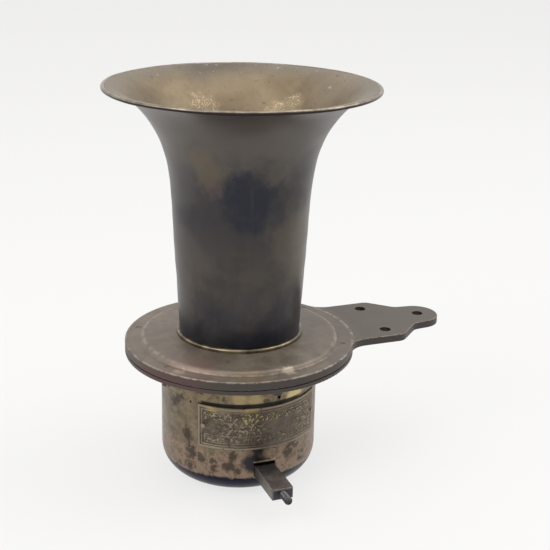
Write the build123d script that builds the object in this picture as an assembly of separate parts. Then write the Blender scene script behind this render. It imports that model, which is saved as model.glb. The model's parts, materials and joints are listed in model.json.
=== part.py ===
"""Hand-plunger warning horn: a flared bell on a diaphragm housing with a rack-driven gear train.

Frame, in millimetres: the housing cup stands on z = 0, the horn's axis is x = y = 0, +Z leaves
through the bell, the bracket arm points along +X and the plunger comes out along -Y.
"""
import os
from math import acos, cos, hypot, pi, radians, sin, sqrt, tan

from build123d import *

# ---------------------------------------------------------------- housing cup
CUP_R = 41.05            # outside of the drawn brass cup
CUP_WALL = 1.2
CUP_FILLET = 15.1        # large drawing radius between wall and floor
CUP_FLANGE_R = 50.0
CUP_FLANGE_T = 1.0
SLOT_HALF_WIDTH = 5.8    # opening for the plunger bar
SLOT_Z = (11.75, 20.3)
OIL_HOLE = (-79.8, 55.3, 1.0)    # azimuth in degrees, height, radius
VENT_HOLE = (-146.3, 51.0, 0.6)

# ------------------------------------------------- clamped stack over the cup
FLANGE_R = 60.0
RING_Z = (67.0, 69.1)            # rear clamp ring
GASKET_T = 0.25
DIAPHRAGM_T = 0.3
PACK_R = 59.2                    # gaskets and diaphragm stop just inside the flange edge
GASKET_R_IN = 45.0
PLATE_Z = (69.9, 73.9)           # front plate and its bracket arm
DOME_R = (51.0, 33.0)            # raised land on the front plate, foot and crown
DOME_Z = (75.9, 77.4)
LAND_SLOPE = 1.6                 # how far the land's side spreads on its way down
LAND_EDGE_R = 2.4                # its top edge is cast soft
CHAMBER_R = 46.0                 # shallow chamber over the diaphragm
CHAMBER_TOP = 72.5
THROAT_R = 16.0
SPIGOT_R = 30.2                  # locates the foot of the bell
SPIGOT_TOP = 81.0
RIM_SCREW_CIRCLE = 54.7
RIM_SCREW_AZ = (-150, -90, -30, 30, 90, 150)
RIM_SCREW_R = 1.6
RIM_SCREW_TIP = 73.7

# ----------------------------------------------------------------- bracket arm
ARM_HALF_WIDTH = 24.6
ARM_SHOULDER = ((84.6, 24.8), (97.0, 12.8))
ARM_CORNER_R = 6.0
ARM_TIP_X = 104.0
ARM_TIP_R = 12.0
ARM_ROOT_FILLET = 12.0
ARM_HOLES = ((77.5, -16.0), (77.5, 16.0), (105.0, 0.0))
ARM_HOLE_R = 2.95

# ------------------------------------------------------------------------ bell
BELL_T = 1.0
BELL_OUTSIDE = (
    (31.3, 77.4), (32.0, 90.0), (32.8, 105.0), (33.7, 120.0), (34.5, 135.0), (35.35, 150.0),
    (36.2, 160.5), (37.9, 170.5), (41.0, 180.0), (45.3, 188.0), (50.4, 195.0), (55.3, 199.9),
    (61.0, 203.8), (67.9, 205.8),
)
RIM_WIRE_R = 1.1
RIM_WIRE_AT = (68.35, 206.0)
FERRULE_R = (31.45, 33.0)
FERRULE_H = 2.0

# ------------------------------------------------------------------- nameplate
NAMEPLATE_AZ = (-140.0, -42.0)
NAMEPLATE_Z = (27.5, 52.0)
NAMEPLATE_T = 0.45
NAMEPLATE_RELIEF = 0.3
NAMEPLATE_RIVETS = ((-135.1, 40.0), (-44.6, 40.0))

# ------------------------------------------------------- plunger bar and rack
BAR_HALF_WIDTH = 5.45
BAR_Z = (12.0, 18.0)
BAR_Y = (-67.0, 9.0)
STUD_R = 2.1
STUD_END_Y = -75.0
STUD_TANG = (1.8, 6.0)           # radius and depth of the part driven into the bar
STOP_PIN = (-14.4, 1.5)          # y of the pin that holds the bar at rest, and its radius
LUG_Y = (5.0, 9.0)
LUG_HALF_T = 0.6
SPRING_Z = 5.2
SPRING_ANCHOR_Y = -24.0
SPRING_R = 1.55
SPRING_WIRE_R = 0.25

# ------------------------------------------------------------------ gear train
PRESSURE = radians(25.0)
ADDENDUM = 0.8                   # stub teeth, in modules
DEDENDUM = 1.0
THINNING = 0.05                  # taken off each tooth for backlash
RACK_MODULE = 1.0
RACK_PINION_TEETH = 12
FINE_MODULE = 0.6
FIRST_GEAR_TEETH = 45
SECOND_GEAR_TEETH = 48
FINE_PINION_TEETH = 12
SOUND_WHEEL_R = (13.4, 15.2)
SOUND_WHEEL_TEETH = 12
SOUND_WHEEL_AXIS_Z = 48.0
SHAFT_R = (2.0, 1.8, 1.8)
JOURNAL_R = 1.5
BUSH_BORE_R = 1.53
BUSH_R = 3.0
ANVIL_TIP_Z = 63.4

# --------------------------------------------------------------- gearbox frame
PLATE_X = (11.0, 12.5)
PLATE_OUTLINE = (
    (-27.0, 5.4), (-22.4, 1.2), (22.4, 1.2), (27.0, 5.4), (27.0, 32.0), (24.0, 58.0),
    (-22.0, 58.0), (-27.0, 46.0),
)
FOOT_X = 20.0
FOOT_T = 1.5
FOOT_HALF_LENGTH = 12.0
FOOT_SCREWS = ((16.5, 8.0), (16.5, -8.0), (-16.5, 8.0), (-16.5, -8.0))
PILLARS = ((-21.0, 32.0), (-18.5, 52.5), (19.5, 54.0))
PILLAR_R = 3.0
GUIDE_Y = (16.0, 22.0)           # distance of each guide block from the first shaft
GUIDE_Z = (9.0, 19.8)
GUIDE_CLEARANCE = 0.06


# ============================================================ simple solids
def block(x, y, z):
    """A box from three (low, high) pairs."""
    centre = [(low + high) / 2 for low, high in (x, y, z)]
    return Pos(*centre) * Box(x[1] - x[0], y[1] - y[0], z[1] - z[0])


def along_x(radius, x0, x1, y, z):
    return Pos((x0 + x1) / 2, y, z) * Rot(0, 90, 0) * Cylinder(radius, x1 - x0)


def along_y(radius, y0, y1, x, z):
    return Pos(x, (y0 + y1) / 2, z) * Rot(90, 0, 0) * Cylinder(radius, y1 - y0)


def along_z(radius, z0, z1, x=0.0, y=0.0):
    return Pos(x, y, (z0 + z1) / 2) * Cylinder(radius, z1 - z0)


def ring(r_out, r_in, z0, z1):
    return along_z(r_out, z0, z1) - along_z(r_in, z0 - 1, z1 + 1)


def turned(outline):
    """Revolve a closed (radius, height) outline about the horn's axis."""
    return revolve(Plane.XZ * make_face(Polyline(*outline, close=True)), Axis.Z)


def slab_x(outline, x0, x1):
    """Extrude a closed (y, z) outline from x0 to x1."""
    return extrude(Plane.YZ.offset(x0) * make_face(Polyline(*outline, close=True)), x1 - x0)


def polar(radius, degrees):
    return radius * cos(radians(degrees)), radius * sin(radians(degrees))


def arc_block(r, z, azimuth):
    """A piece of ring between two radii, two heights and two azimuths in degrees."""
    face = Plane.XZ * Pos((r[0] + r[1]) / 2, (z[0] + z[1]) / 2) * Rectangle(r[1] - r[0], z[1] - z[0])
    return Rot(0, 0, azimuth[0]) * revolve(face, Axis.Z, azimuth[1] - azimuth[0])


def radial_rod(radius, r0, r1, azimuth, z):
    """A cylinder that points away from the horn's axis."""
    return Rot(0, 0, azimuth) * along_x(radius, r0, r1, 0, z)


def edges_at(part, radius, z):
    """The circular edges about the horn's axis with this radius and height."""
    return [
        e for e in part.edges().filter_by(GeomType.CIRCLE)
        if abs(e.radius - radius) < 0.01 and abs(e.center(CenterOf.BOUNDING_BOX).Z - z) < 0.01
    ]


# ======================================================== tooth outlines
def gear_outline(module, teeth, phase, centre):
    """Involute outline in (y, z); one tooth is centred on the angle phase, in radians."""
    pitch_r = module * teeth / 2
    base_r = pitch_r * cos(PRESSURE)
    tip_r = pitch_r + ADDENDUM * module
    root_r = pitch_r - DEDENDUM * module
    half_at_pitch = pi / (2 * teeth) - THINNING / (2 * pitch_r)
    flank = []
    if root_r < base_r:
        flank.append((root_r, half_at_pitch + tan(PRESSURE) - PRESSURE))
    start_r = max(base_r, root_r)
    for step in range(5):
        r = start_r + (tip_r - start_r) * step / 4
        roll = acos(min(1.0, base_r / r))
        flank.append((r, half_at_pitch + tan(PRESSURE) - PRESSURE - (tan(roll) - roll)))
    outline = []
    for tooth in range(teeth):
        middle = phase + 2 * pi * tooth / teeth
        rising = [(r, middle - angle) for r, angle in flank]
        falling = [(r, middle + angle) for r, angle in reversed(flank)]
        outline += rising + falling
    return [(centre[0] + r * cos(a), centre[1] + r * sin(a)) for r, a in outline]


def meshing_phase(teeth, phase, direction, mate_teeth):
    """Phase of the mating gear, which lies in the given direction from the first one."""
    return direction + pi - (pi - teeth * (direction - phase)) / mate_teeth


def rack_outline(pitch_line, gap_centre, gaps):
    """Side view of the plunger bar, with tooth gaps cut into its top."""
    pitch = pi * RACK_MODULE
    tip_z = pitch_line + ADDENDUM * RACK_MODULE
    root_z = pitch_line - DEDENDUM * RACK_MODULE
    gap_half = pitch / 4 + THINNING / 2
    top_half = gap_half + (tip_z - pitch_line) * tan(PRESSURE)
    root_half = gap_half - (pitch_line - root_z) * tan(PRESSURE)
    outline = [(BAR_Y[0], BAR_Z[0]), (BAR_Y[0], tip_z)]
    for gap in gaps:
        y = gap_centre + gap * pitch
        outline += [(y - top_half, tip_z), (y - root_half, root_z)]
        outline += [(y + root_half, root_z), (y + top_half, tip_z)]
    return outline + [(BAR_Y[1], tip_z), (BAR_Y[1], BAR_Z[0])]


def saw_outline(teeth, root_r, tip_r, land, phase, centre):
    """A wheel of teeth that rise along a ramp and drop on a radial face."""
    step = 2 * pi / teeth
    outline = []
    for tooth in range(teeth):
        drop = phase + tooth * step
        outline += [(tip_r, drop - land * step), (tip_r, drop), (root_r, drop)]
    return [(centre[0] + r * cos(a), centre[1] + r * sin(a)) for r, a in outline]


# ======================================================= places of the shafts
RACK_PITCH_LINE = BAR_Z[1] - ADDENDUM * RACK_MODULE
FIRST_SHAFT = (0.0, RACK_PITCH_LINE + RACK_MODULE * RACK_PINION_TEETH / 2)
THIRD_SHAFT = (0.0, SOUND_WHEEL_AXIS_Z)


def second_shaft_place():
    """Where the centre distances of the two fine gear pairs meet, on the +Y side."""
    to_first = FINE_MODULE * (FIRST_GEAR_TEETH + FINE_PINION_TEETH) / 2
    to_third = FINE_MODULE * (SECOND_GEAR_TEETH + FINE_PINION_TEETH) / 2
    rise = THIRD_SHAFT[1] - FIRST_SHAFT[1]
    up = (rise ** 2 + to_first ** 2 - to_third ** 2) / (2 * rise)
    return sqrt(to_first ** 2 - up ** 2), FIRST_SHAFT[1] + up


SECOND_SHAFT = second_shaft_place()
SHAFTS = (FIRST_SHAFT, SECOND_SHAFT, THIRD_SHAFT)
FIRST_TO_SECOND = acos(SECOND_SHAFT[0] / hypot(SECOND_SHAFT[0], SECOND_SHAFT[1] - FIRST_SHAFT[1]))
SECOND_TO_THIRD = pi - acos(SECOND_SHAFT[0] / hypot(SECOND_SHAFT[0], THIRD_SHAFT[1] - SECOND_SHAFT[1]))


# ==================================================================== bell
def bell_sheet():
    outside = Spline(*BELL_OUTSIDE)
    inner = []
    for step in range(25):
        at = outside @ (step / 24)
        tangent = outside % (step / 24)
        inner.append((at.X - tangent.Y * BELL_T, at.Y + tangent.X * BELL_T))
    inside = Spline(*inner)
    foot = Line(inside @ 0, outside @ 0)
    lip = Line(outside @ 1, inside @ 1)
    sheet = revolve(Plane.XZ * make_face([foot, outside, lip, inside]), Axis.Z)
    trimmed = sheet - along_z(200, PLATE_Z[0], DOME_Z[1])
    return trimmed - rim_wire()


def rim_wire():
    return Pos(0, 0, RIM_WIRE_AT[1]) * Torus(RIM_WIRE_AT[0], RIM_WIRE_R)


def bell_ferrule():
    bead = ring(FERRULE_R[1], FERRULE_R[0], DOME_Z[1], DOME_Z[1] + FERRULE_H)
    return fillet(edges_at(bead, FERRULE_R[1], DOME_Z[1] + FERRULE_H), 0.9)


# ============================================================ clamped stack
def arm_outline():
    shoulder, neck = ARM_SHOULDER
    root = (20.0, ARM_HALF_WIDTH)
    tip = (ARM_TIP_X, ARM_TIP_R)
    upper = Polyline(root, shoulder, neck, tip)
    lower = Polyline(*[(x, -y) for x, y in (root, shoulder, neck, tip)])
    nose = ThreePointArc(tip, (ARM_TIP_X + ARM_TIP_R, 0), (ARM_TIP_X, -ARM_TIP_R))
    face = make_face([upper, nose, lower, Line((20, -ARM_HALF_WIDTH), (20, ARM_HALF_WIDTH))])
    corners = [v for v in face.vertices() if 80 < v.X < 100]
    return fillet(corners, ARM_CORNER_R)


def front_plate():
    outline = Circle(FLANGE_R) + arm_outline()
    roots = [v for v in outline.vertices() if 50 < v.X < 60 and abs(v.Y) > 10]
    outline = fillet(roots, ARM_ROOT_FILLET)
    plate = extrude(Pos(0, 0, PLATE_Z[0]) * outline, PLATE_Z[1] - PLATE_Z[0])
    plate = fillet(plate.edges().group_by(Axis.Z)[-1], 0.6)
    foot = DOME_R[0] + LAND_SLOPE
    land = turned((
        (0, PLATE_Z[1] - 1), (foot, PLATE_Z[1] - 1), (foot, PLATE_Z[1]),
        (DOME_R[0], DOME_Z[0]), (DOME_R[1], DOME_Z[1]),
        (SPIGOT_R, DOME_Z[1]), (SPIGOT_R, SPIGOT_TOP), (0, SPIGOT_TOP),
    ))
    land = fillet(edges_at(land, DOME_R[0], DOME_Z[0]), LAND_EDGE_R)
    throat = turned((
        (0, PLATE_Z[0] - 1), (CHAMBER_R, PLATE_Z[0] - 1), (CHAMBER_R, CHAMBER_TOP),
        (THROAT_R, CHAMBER_TOP), (THROAT_R, CHAMBER_TOP + 2), (SPIGOT_R - 1.6, SPIGOT_TOP + 0.01),
        (0, SPIGOT_TOP + 0.01),
    ))
    plate = plate + land - throat
    for x, y in ARM_HOLES:
        plate -= along_z(ARM_HOLE_R, PLATE_Z[0] - 1, PLATE_Z[1] + 1, x, y)
    return plate - rim_screw_holes(RIM_SCREW_R)


def rim_screw_holes(radius):
    holes = Part()
    for azimuth in RIM_SCREW_AZ:
        x, y = polar(RIM_SCREW_CIRCLE, azimuth)
        holes += along_z(radius, RING_Z[0] - 5, PLATE_Z[1] + 5, x, y)
    return holes


def pack_ring(r_in, z0, z1):
    return ring(PACK_R, r_in, z0, z1) - rim_screw_holes(RIM_SCREW_R + 0.15)


def diaphragm_z():
    low = RING_Z[1] + GASKET_T
    return low, low + DIAPHRAGM_T


def front_gasket():
    return pack_ring(GASKET_R_IN, diaphragm_z()[1], PLATE_Z[0])


def diaphragm():
    return pack_ring(JOURNAL_R, *diaphragm_z())


def rear_gasket():
    return pack_ring(GASKET_R_IN, RING_Z[1], diaphragm_z()[0])


def rear_clamp_ring():
    body = ring(FLANGE_R, CUP_R + 0.2, *RING_Z)
    recess = along_z(CUP_FLANGE_R + 0.3, RING_Z[1] - CUP_FLANGE_T, RING_Z[1] + 1)
    body = fillet(edges_at(body, FLANGE_R, RING_Z[0]), 0.6) - recess
    return body - rim_screw_holes(RIM_SCREW_R + 0.15)


def rim_screws():
    screws = Part()
    for azimuth in RIM_SCREW_AZ:
        x, y = polar(RIM_SCREW_CIRCLE, azimuth)
        head = along_z(3.0, RING_Z[0] - 2.4, RING_Z[0], x, y)
        slot = Pos(x, y, RING_Z[0] - 2.4) * Rot(0, 0, azimuth + 35) * Box(7, 0.9, 2.2)
        screws += head - slot + along_z(RIM_SCREW_R, RING_Z[0], RIM_SCREW_TIP, x, y)
    return screws


def anvil():
    low, high = diaphragm_z()
    return turned((
        (0, ANVIL_TIP_Z), (1.6, ANVIL_TIP_Z), (2.2, ANVIL_TIP_Z + 0.6), (2.2, 66.2), (4.5, 66.8),
        (4.5, low), (JOURNAL_R, low), (JOURNAL_R, high + 3.2), (0, high + 3.2),
    ))


def anvil_nut():
    high = diaphragm_z()[1]
    nut = extrude(Pos(0, 0, high) * RegularPolygon(3.2, 6), 2.2)
    return nut - along_z(JOURNAL_R, high - 1, high + 5)


# ============================================================= housing cup
def cup_outline(inset):
    """Half section of the cup's outside, or of its inside when inset by the wall."""
    r = CUP_R - inset
    corner = CUP_FILLET - inset
    flat = CUP_R - CUP_FILLET
    turn = (flat + corner * sin(pi / 4), CUP_FILLET - corner * cos(pi / 4))
    floor = Line((0, inset), (flat, inset))
    fillet_arc = ThreePointArc((flat, inset), turn, (r, CUP_FILLET))
    wall = Line((r, CUP_FILLET), (r, RING_Z[1] + inset))
    top = Polyline((r, RING_Z[1] + inset), (0, RING_Z[1] + inset), (0, inset))
    return make_face([floor, fillet_arc, wall, top])


def housing_cup():
    cup = revolve(Plane.XZ * cup_outline(0), Axis.Z)
    cup += along_z(CUP_FLANGE_R, RING_Z[1] - CUP_FLANGE_T, RING_Z[1])
    cup -= revolve(Plane.XZ * cup_outline(CUP_WALL), Axis.Z)
    slot = block((-SLOT_HALF_WIDTH, SLOT_HALF_WIDTH), (-CUP_R - 2, -CUP_R + 8), SLOT_Z)
    cup -= fillet(slot.edges().filter_by(Axis.Y), 0.8)
    for azimuth, z, radius in (OIL_HOLE, VENT_HOLE):
        cup -= radial_rod(radius, CUP_R - 4, CUP_R + 2, azimuth, z)
    for azimuth, z in NAMEPLATE_RIVETS:
        cup -= radial_rod(0.7, CUP_R - 4, CUP_R + 2, azimuth, z)
    for x, y in FOOT_SCREWS:
        cup -= Pos(x, y, CUP_WALL / 2) * Cone(2.7, 1.5, CUP_WALL)
    return cup


def nameplate_marks():
    """Blank generic relief: a double border and plain panels, with no lettering."""
    low, high = NAMEPLATE_Z
    left, right = NAMEPLATE_AZ
    frames = [(left, right, low, high, 1.1), (left + 5, right - 5, low + 2.3, high - 2.3, 0.45)]
    frames.append((left + 10, left + 24, low + 6.5, high - 6.5, 0.4))
    frames.append((right - 26, right - 10, low + 6.5, high - 6.5, 0.4))
    relief = Part()
    for a0, a1, z0, z1, width in frames:
        turn = width / radians(1) / CUP_R
        strips = (
            (a0, a1, z0, z0 + width), (a0, a1, z1 - width, z1),
            (a0, a0 + turn, z0, z1), (a1 - turn, a1, z0, z1),
        )
        for b0, b1, s0, s1 in strips:
            relief += arc_block(nameplate_radii(True), (s0, s1), (b0, b1))
    for row in range(3):
        z = low + 7.2 + row * 4.2
        relief += arc_block(nameplate_radii(True), (z, z + 1.6), (left + 30 + 3 * row, right - 32 - 3 * row))
    return relief


def nameplate_radii(relief=False):
    return CUP_R, CUP_R + NAMEPLATE_T + (NAMEPLATE_RELIEF if relief else 0)


def nameplate():
    plate = arc_block(nameplate_radii(), NAMEPLATE_Z, NAMEPLATE_AZ) + nameplate_marks()
    for azimuth, z in NAMEPLATE_RIVETS:
        plate -= radial_rod(0.7, CUP_R - 2, CUP_R + 2, azimuth, z)
    return plate


def nameplate_rivets():
    rivets = Part()
    seat = nameplate_radii(True)[1]
    for azimuth, z in NAMEPLATE_RIVETS:
        shank = radial_rod(0.7, CUP_R - CUP_WALL - 0.6, seat, azimuth, z)
        head = radial_rod(1.2, seat, seat + 0.45, azimuth, z)
        rivets += shank + head
    return rivets


# ============================================================ gearbox frame
def frame_plate(side):
    """One side plate with its foot turned outward; side is -1 or +1."""
    inner, outer = sorted((side * PLATE_X[0], side * PLATE_X[1]))
    plate = slab_x(PLATE_OUTLINE, inner, outer)
    foot_x = sorted((side * PLATE_X[0], side * FOOT_X))
    foot = block(foot_x, (-FOOT_HALF_LENGTH, FOOT_HALF_LENGTH), (CUP_WALL, CUP_WALL + FOOT_T))
    plate += foot
    for y, z in SHAFTS:
        plate -= along_x(BUSH_R, inner - 1, outer + 1, y, z)
    for y, z in PILLARS + guide_screw_places():
        plate -= along_x(1.5, inner - 1, outer + 1, y, z)
    plate -= along_x(1.0, inner - 1, outer + 1, SPRING_ANCHOR_Y, SPRING_Z)
    for x, y in FOOT_SCREWS:
        plate -= along_z(1.5, 0, 4, x, y)
    return plate


def frame_plate_left():
    return frame_plate(-1)


def frame_plate_right():
    return frame_plate(1)


def guide_screw_places():
    middle = (GUIDE_Y[0] + GUIDE_Y[1]) / 2
    height = (GUIDE_Z[0] + GUIDE_Z[1]) / 2
    return (-middle, height), (middle, height)


def frame_pillars():
    pillars = Part()
    for y, z in PILLARS:
        pillar = along_x(PILLAR_R, -PLATE_X[0], PLATE_X[0], y, z)
        pillars += pillar - along_x(1.5, -PLATE_X[0] - 1, -PLATE_X[0] + 6, y, z)
    for y, z in PILLARS:
        pillars -= along_x(1.5, PLATE_X[0] - 6, PLATE_X[0] + 1, y, z)
    return pillars


def side_screws(places, depth):
    """Cheese-headed screws through both side plates."""
    screws = Part()
    for y, z in places:
        for side in (-1, 1):
            head = sorted((side * PLATE_X[1], side * (PLATE_X[1] + 1.8)))
            shank = sorted((side * (PLATE_X[0] - depth), side * PLATE_X[1]))
            slot = Pos(side * (PLATE_X[1] + 1.8), y, z) * Rot(25, 0, 0) * Box(1.4, 7, 0.7)
            screws += along_x(2.6, *head, y, z) - slot + along_x(1.5, *shank, y, z)
    return screws


def pillar_screws():
    return side_screws(PILLARS, 5)


def guide_screws():
    return side_screws(guide_screw_places(), 3.5)


def foot_screws():
    screws = Part()
    for x, y in FOOT_SCREWS:
        head = Pos(x, y, CUP_WALL / 2) * Cone(2.7, 1.5, CUP_WALL)
        slot = Pos(x, y, 0) * Box(7, 0.7, 1.0)
        screws += head - slot + along_z(1.5, CUP_WALL, CUP_WALL + FOOT_T + 1.0, x, y)
    return screws


def plunger_guides():
    """Two blocks that carry the bar; the rear one is slit below to let the spring lug pass."""
    c = GUIDE_CLEARANCE
    tunnel = block(
        (-BAR_HALF_WIDTH - c, BAR_HALF_WIDTH + c), (-40, 40), (BAR_Z[0] - c, BAR_Z[1] + c)
    )
    front = block((-PLATE_X[0], PLATE_X[0]), (-GUIDE_Y[1], -GUIDE_Y[0]), GUIDE_Z)
    rear = block((-PLATE_X[0], PLATE_X[0]), GUIDE_Y, GUIDE_Z)
    rear -= block((-2.2, 2.2), (10, 30), (GUIDE_Z[0] - 1, BAR_Z[0]))
    guides = front + rear - tunnel
    for y, z in guide_screw_places():
        for side in (-1, 1):
            hole = sorted((side * (PLATE_X[0] - 3.5), side * (PLATE_X[0] + 1)))
            guides -= along_x(1.5, *hole, y, z)
    return guides


def shaft_bushes():
    bushes = Part()
    for y, z in SHAFTS:
        for side in (-1, 1):
            body = sorted((side * PLATE_X[0], side * (PLATE_X[1] + 0.8)))
            flange = sorted((side * PLATE_X[1], side * (PLATE_X[1] + 0.8)))
            bush = along_x(BUSH_R, *body, y, z) + along_x(BUSH_R + 1, *flange, y, z)
            bushes += bush - along_x(BUSH_BORE_R, -20, 20, y, z)
    return bushes


# ================================================================= plunger
def plunger_bar():
    outline = rack_outline(RACK_PITCH_LINE, FIRST_SHAFT[0], range(-9, 3))
    bar = slab_x(outline, -BAR_HALF_WIDTH, BAR_HALF_WIDTH)
    bar = chamfer(bar.faces().sort_by(Axis.Y)[0].edges(), 0.7)
    bar -= along_y(STUD_TANG[0], BAR_Y[0] - 1, BAR_Y[0] + STUD_TANG[1], 0, sum(BAR_Z) / 2)
    bar -= along_z(STOP_PIN[1], BAR_Z[0] - 1, BAR_Z[0] + 3, 0, STOP_PIN[0])
    return bar - block((-LUG_HALF_T, LUG_HALF_T), (LUG_Y[0], LUG_Y[1] + 1), (BAR_Z[0] - 1, BAR_Z[0] + 3.5))


def plunger_stud():
    stud = along_y(STUD_R, STUD_END_Y, BAR_Y[0], 0, sum(BAR_Z) / 2)
    stud = chamfer(stud.edges().group_by(Axis.Y)[0], 0.6)
    return stud + along_y(STUD_TANG[0], BAR_Y[0], BAR_Y[0] + STUD_TANG[1], 0, sum(BAR_Z) / 2)


def stop_pin():
    return along_z(STOP_PIN[1], BAR_Z[0] - 4, BAR_Z[0] + 3, 0, STOP_PIN[0])


def spring_lug():
    lug = block((-LUG_HALF_T, LUG_HALF_T), LUG_Y, (SPRING_Z - 2, BAR_Z[0] + 3.5))
    return lug - along_x(0.6, -2, 2, sum(LUG_Y) / 2, SPRING_Z)


def spring_anchor():
    return along_x(1.0, -PLATE_X[1], PLATE_X[1], SPRING_ANCHOR_Y, SPRING_Z)


def return_spring():
    """Extension spring, from the anchor pin to the lug under the bar."""
    front_eye_r = 1.0 + SPRING_WIRE_R + 0.1
    rear_eye_r = 1.3
    front_eye_end = (0, SPRING_ANCHOR_Y + front_eye_r, SPRING_Z)
    rear_eye_end = (0, sum(LUG_Y) / 2 - 2 * rear_eye_r, SPRING_Z)
    start = front_eye_end[1] + SPRING_R
    end = rear_eye_end[1] - SPRING_R
    coil = Helix((end - start) / 18, end - start, SPRING_R, (0, start, SPRING_Z), (0, 1, 0))
    spring = wire_along(coil)
    spring += Pos(0, SPRING_ANCHOR_Y, SPRING_Z) * Rot(0, 90, 0) * Torus(front_eye_r, SPRING_WIRE_R)
    spring += Pos(0, sum(LUG_Y) / 2 - rear_eye_r, SPRING_Z) * Torus(rear_eye_r, SPRING_WIRE_R)
    for coil_end, eye_end in ((coil @ 0, front_eye_end), (coil @ 1, rear_eye_end)):
        spring += Pos(*coil_end) * Sphere(SPRING_WIRE_R * 1.1)
        spring += wire_along(Line(coil_end, eye_end))
    return spring


def wire_along(path):
    section = Plane(origin=path @ 0, z_dir=path % 0) * Circle(SPRING_WIRE_R)
    return sweep(section, path, is_frenet=path.geom_type != GeomType.LINE)


# =============================================================== gear train
def shaft(index):
    y, z = SHAFTS[index]
    body = along_x(SHAFT_R[index], -PLATE_X[0] + 0.2, PLATE_X[0] - 0.2, y, z)
    return body + along_x(JOURNAL_R, -PLATE_X[1] - 0.6, PLATE_X[1] + 0.6, y, z)


def first_shaft():
    return shaft(0)


def second_shaft():
    return shaft(1)


def third_shaft():
    return shaft(2)


def gear(module, teeth, phase, index, x, hub=None, holes=0):
    """A spur gear on one of the shafts, with an optional hub and lightening holes."""
    y, z = SHAFTS[index]
    body = slab_x(gear_outline(module, teeth, phase, (y, z)), *x)
    if hub:
        body += along_x(SHAFT_R[index] + 2.0, *hub, y, z)
    for hole in range(holes):
        dy, dz = polar(module * teeth * 0.3, 45 + 360 * hole / holes)
        body -= along_x(module * teeth * 0.09, x[0] - 1, x[1] + 1, y + dy, z + dz)
    return body - along_x(SHAFT_R[index], -20, 20, y, z)


RACK_PINION_PHASE = -pi / 2
FIRST_GEAR_PHASE = 0.0
SECOND_PINION_PHASE = meshing_phase(FIRST_GEAR_TEETH, FIRST_GEAR_PHASE, FIRST_TO_SECOND, FINE_PINION_TEETH)
SECOND_GEAR_PHASE = 0.0
THIRD_PINION_PHASE = meshing_phase(
    SECOND_GEAR_TEETH, SECOND_GEAR_PHASE, SECOND_TO_THIRD, FINE_PINION_TEETH
)
FIRST_GEAR_X = (7.3, 9.0)
SECOND_GEAR_X = (-9.0, -7.3)


def rack_pinion():
    return gear(RACK_MODULE, RACK_PINION_TEETH, RACK_PINION_PHASE, 0, (-5.3, 5.3))


def first_gear():
    body = gear(FINE_MODULE, FIRST_GEAR_TEETH, FIRST_GEAR_PHASE, 0, FIRST_GEAR_X, (9.0, 10.6))
    return body - along_x(PAWL_PIN_R, 0, 12, *pawl_pivot())


def second_pinion():
    return gear(FINE_MODULE, FINE_PINION_TEETH, SECOND_PINION_PHASE, 1, (7.1, 9.2))


def second_gear():
    return gear(
        FINE_MODULE, SECOND_GEAR_TEETH, SECOND_GEAR_PHASE, 1, SECOND_GEAR_X, (-10.6, -9.0), holes=5
    )


def third_pinion():
    return gear(FINE_MODULE, FINE_PINION_TEETH, THIRD_PINION_PHASE, 2, (-9.2, -7.1))


def sound_wheel():
    outline = saw_outline(SOUND_WHEEL_TEETH, *SOUND_WHEEL_R, 0.25, 0.0, THIRD_SHAFT)
    wheel = slab_x(outline, -2.5, 2.5)
    wheel += along_x(4.0, -5.0, 5.0, *THIRD_SHAFT)
    return wheel - along_x(SHAFT_R[2], -20, 20, *THIRD_SHAFT)


# ---------------------------------------------------------- one-way clutch
RATCHET_X = (5.7, 7.2)
RATCHET_R = (5.5, 6.6)
PAWL_X = (5.8, 7.1)
PAWL_TIP = (6.5, 26.0)           # radius and angle about the first shaft
PAWL_PIVOT = (10.6, 72.0)
PAWL_PIN_R = 0.8


def pawl_pivot():
    dy, dz = polar(*PAWL_PIVOT)
    return FIRST_SHAFT[0] + dy, FIRST_SHAFT[1] + dz


def ratchet_wheel():
    outline = saw_outline(10, *RATCHET_R, 0.12, radians(20), FIRST_SHAFT)
    return slab_x(outline, *RATCHET_X) - along_x(SHAFT_R[0], 0, 20, *FIRST_SHAFT)


def pawl():
    tip_y, tip_z = polar(*PAWL_TIP)
    tip = Pos(FIRST_SHAFT[0] + tip_y, FIRST_SHAFT[1] + tip_z) * Circle(0.45)
    eye = Pos(*pawl_pivot()) * Circle(1.5)
    outline = make_hull(tip.edges() + eye.edges())
    body = extrude(Plane.YZ.offset(PAWL_X[0]) * outline, PAWL_X[1] - PAWL_X[0])
    body -= along_x(PAWL_PIN_R, 0, 12, *pawl_pivot())
    return body - along_x(RATCHET_R[1] + 0.05, 0, 12, *FIRST_SHAFT)


def pawl_pin():
    return along_x(PAWL_PIN_R, PAWL_X[0] - 0.1, FIRST_GEAR_X[1], *pawl_pivot())


NODES = (
    bell_sheet, rim_wire, bell_ferrule, front_plate, front_gasket, diaphragm, rear_gasket, anvil,
    anvil_nut, rear_clamp_ring, rim_screws, housing_cup, nameplate, nameplate_rivets,
    frame_plate_left, frame_plate_right, frame_pillars, pillar_screws, guide_screws, foot_screws,
    plunger_guides, shaft_bushes, spring_anchor, plunger_bar, plunger_stud, stop_pin, spring_lug,
    return_spring, first_shaft, rack_pinion, ratchet_wheel, pawl, pawl_pin, first_gear,
    second_shaft, second_pinion, second_gear, third_shaft, third_pinion, sound_wheel,
)

os.makedirs("parts", exist_ok=True)
for node in NODES:
    export_step(node(), f"parts/{node.__name__}.step")
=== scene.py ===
"""Looks for the hand-plunger warning horn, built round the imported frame. Metres, +Z up."""
import json
import math

import bpy
import numpy as np
from mathutils import Matrix, Vector

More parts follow.
